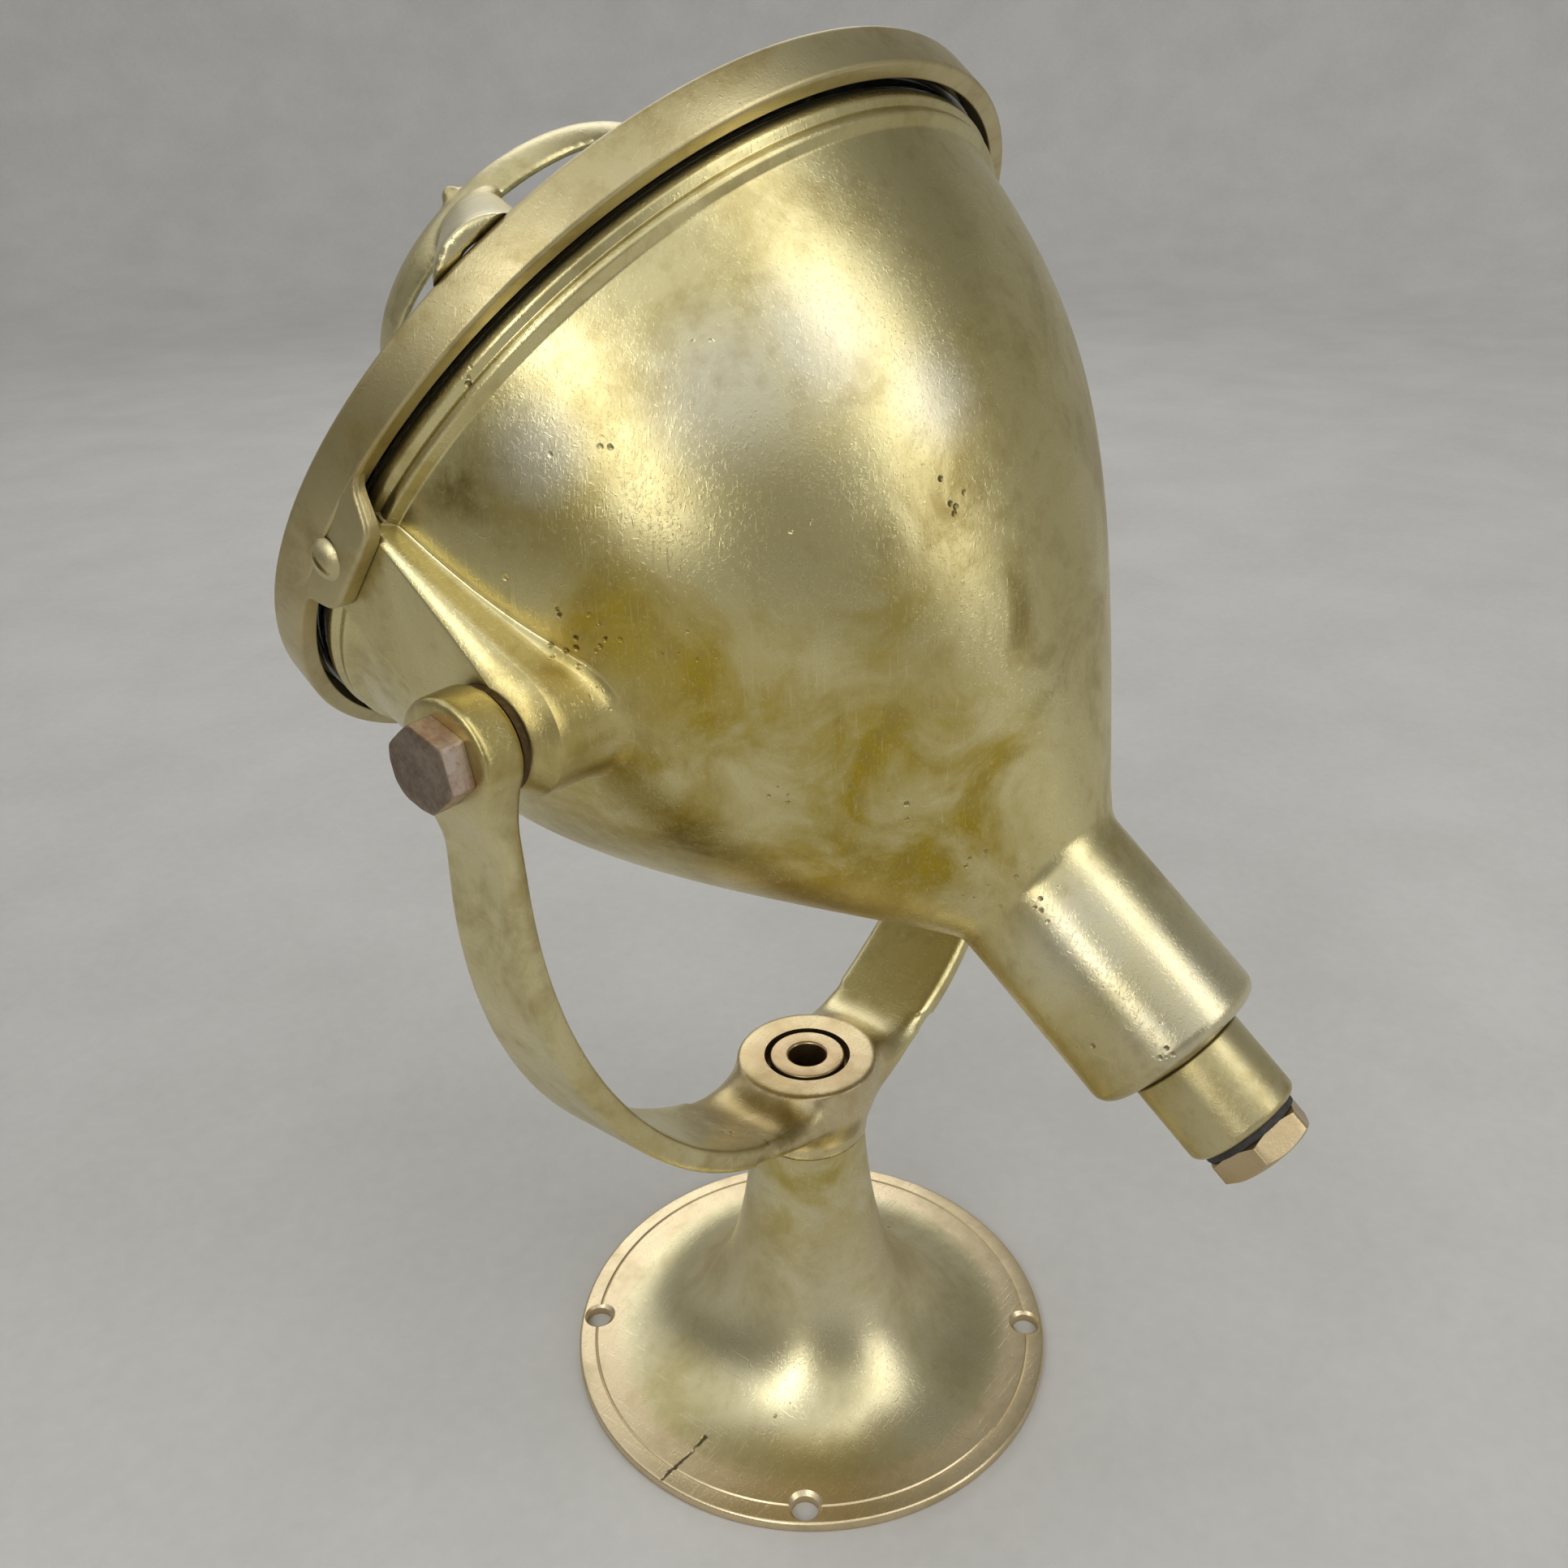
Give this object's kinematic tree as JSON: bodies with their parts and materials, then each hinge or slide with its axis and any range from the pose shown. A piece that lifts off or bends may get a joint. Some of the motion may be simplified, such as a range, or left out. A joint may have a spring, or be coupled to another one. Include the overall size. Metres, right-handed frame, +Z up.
{
  "type": "marine searchlight",
  "caption": "Cast brass marine searchlight with a bell-shaped tilting lamp head, hoop guard, swivelling yoke and flanged trumpet pedestal.",
  "frame": {"origin": "centre of the pedestal flange's underside, on the swivel axis, in the plane of the deck", "axes": "+Z up along the swivel axis; +X along the trunnion axis of the head; +Y is the heading of the mouth, which rests 38.7 degrees above the horizon"},
  "size_m": [0.2514, 0.2681, 0.3914],
  "materials": {
    "cast_brass": "hand-polished casting with tarnish and pits",
    "turned_brass": "turned satin",
    "bolt_steel": "brown patina",
    "dark_rubber": "matt",
    "clear_glass": "clear",
    "lamp_glass": "clear",
    "silvered": "spun and polished",
    "wire": "drawn",
    "porcelain": "glazed"
  },
  "bodies": {
    "base": {"pedestal": "cast_brass", "pivot_bolt": "turned_brass", "pivot_washer": "turned_brass", "pivot_nut": "turned_brass"},
    "yoke": {"yoke": "cast_brass"},
    "head": {"bell_housing": "cast_brass", "trunnion_bolt_left": "bolt_steel", "trunnion_bolt_right": "bolt_steel", "friction_washer_left": "dark_rubber", "friction_washer_right": "dark_rubber", "front_ring": "cast_brass", "ring_screws": "turned_brass", "guard": "cast_brass", "lens_glass": "clear_glass", "front_gasket": "dark_rubber", "rear_gasket": "dark_rubber", "reflector": "silvered", "lamp_globe": "lamp_glass", "lamp_cap": "turned_brass", "lamp_filament": "wire", "socket_shell": "turned_brass", "socket_contact": "turned_brass", "lamp_holder": "porcelain", "holder_screws": "wire", "terminal_screws": "turned_brass", "gland_washer": "dark_rubber", "gland_body": "turned_brass", "gland_grommet": "dark_rubber", "gland_ring": "dark_rubber", "gland_nut": "turned_brass"}
  },
  "joints": [
    {"name": "swivel", "type": "hinge", "parent": "base", "child": "yoke", "pos_m": [0, 0, 0], "axis": [0, 0, 1], "continuous": true},
    {"name": "tilt", "type": "hinge", "parent": "yoke", "child": "head", "pos_m": [0, 0, 0.2648], "axis": [1, 0, 0], "range_deg": [-70, 28]}
  ]
}
